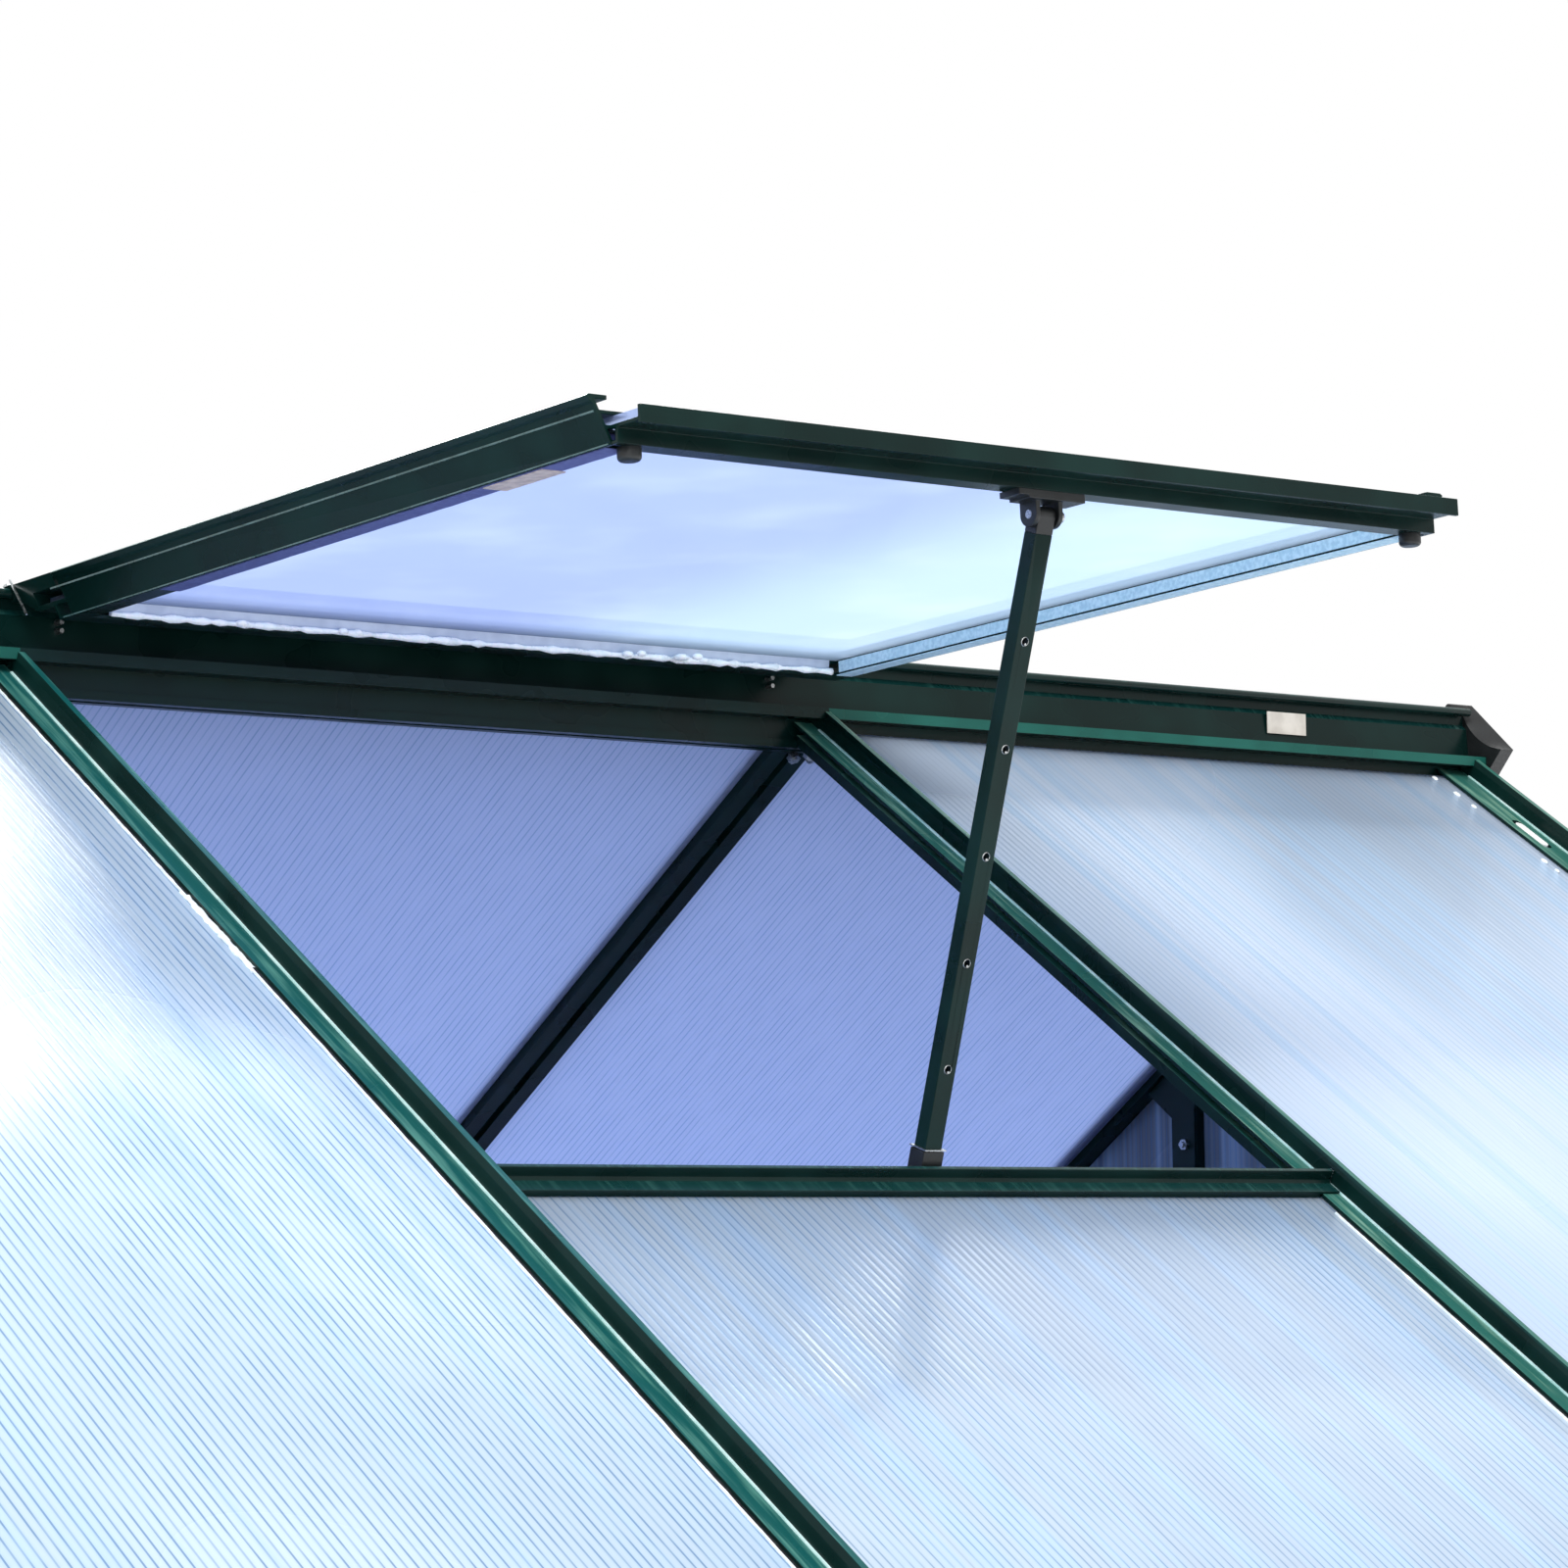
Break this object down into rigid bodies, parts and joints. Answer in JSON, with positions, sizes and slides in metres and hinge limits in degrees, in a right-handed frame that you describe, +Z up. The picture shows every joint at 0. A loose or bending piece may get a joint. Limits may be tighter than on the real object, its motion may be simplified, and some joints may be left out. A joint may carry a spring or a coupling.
{
  "type": "greenhouse gable roof with opening vent",
  "caption": "Gable roof of a small walk-in greenhouse: glazing bars, twin-wall panels, ridge beam with end caps, and a ridge-hinged roof vent held open by a pegged stay.",
  "frame": {"origin": "middle of the footprint, at the level that the eave rails and gable ties rest on", "axes": "+X along the ridge, +Z up, the vent is in the -Y slope"},
  "size_m": [1.906, 1.866, 0.731],
  "materials": {
    "green_coated_aluminium": "dark green powder coat on extruded aluminium, satin",
    "twinwall_polycarbonate": "extruded twin-wall polycarbonate, flutes running down the slope, translucent",
    "clear_sheet": "smooth glossy translucent sheet",
    "grey_moulding": "moulded dark grey plastic, fine texture",
    "black_moulding": "moulded black plastic",
    "plated_steel": "zinc plated steel"
  },
  "bodies": {
    "roof": {"far_eave_rail": "green_coated_aluminium", "far_gusset_left": "green_coated_aluminium", "far_gusset_right": "green_coated_aluminium", "far_panel_1": "twinwall_polycarbonate", "far_panel_2": "twinwall_polycarbonate", "far_panel_3": "twinwall_polycarbonate", "far_rafter_1": "green_coated_aluminium", "far_rafter_2": "green_coated_aluminium", "far_rafter_3": "green_coated_aluminium", "far_rafter_4": "green_coated_aluminium", "far_stud_left": "green_coated_aluminium", "far_stud_right": "green_coated_aluminium", "gable_panel_left": "twinwall_polycarbonate", "gable_panel_right": "twinwall_polycarbonate", "gable_tie_left": "green_coated_aluminium", "gable_tie_right": "green_coated_aluminium", "near_eave_rail": "green_coated_aluminium", "near_gusset_left": "green_coated_aluminium", "near_gusset_right": "green_coated_aluminium", "near_panel_1": "twinwall_polycarbonate", "near_panel_3": "twinwall_polycarbonate", "near_rafter_1": "green_coated_aluminium", "near_rafter_2": "green_coated_aluminium", "near_rafter_3": "green_coated_aluminium", "near_rafter_4": "green_coated_aluminium", "near_stud_left": "green_coated_aluminium", "near_stud_right": "green_coated_aluminium", "panel_under_vent": "twinwall_polycarbonate", "ridge_beam": "green_coated_aluminium", "ridge_cap_left": "grey_moulding", "ridge_cap_right": "grey_moulding", "vent_sill": "green_coated_aluminium"},
    "vent": {"vent_corner_left": "black_moulding", "vent_corner_right": "black_moulding", "vent_free_rail": "green_coated_aluminium", "vent_hinge_rail": "green_coated_aluminium", "vent_pane": "clear_sheet", "vent_side_rail_left": "green_coated_aluminium", "vent_side_rail_right": "green_coated_aluminium", "stay_bracket": "black_moulding", "stay_pin": "plated_steel"},
    "stay": {"stay_arm": "green_coated_aluminium", "stay_foot": "black_moulding", "stay_head": "black_moulding"}
  },
  "joints": [
    {"name": "vent_hinge", "type": "hinge", "parent": "roof", "child": "vent", "pos_m": [0, -0.009, 0.69495], "axis": [1, 0, 0], "range_deg": [0, 36.7]},
    {"name": "stay_pivot", "type": "hinge", "parent": "vent", "child": "stay", "pos_m": [0, -0.59798, 0.69279], "axis": [1, 0, 0], "range_deg": [0, 11.51]}
  ],
  "couplings": [
    {"joint": "stay_pivot", "follows": "vent_hinge", "ratio": 0.3}
  ]
}
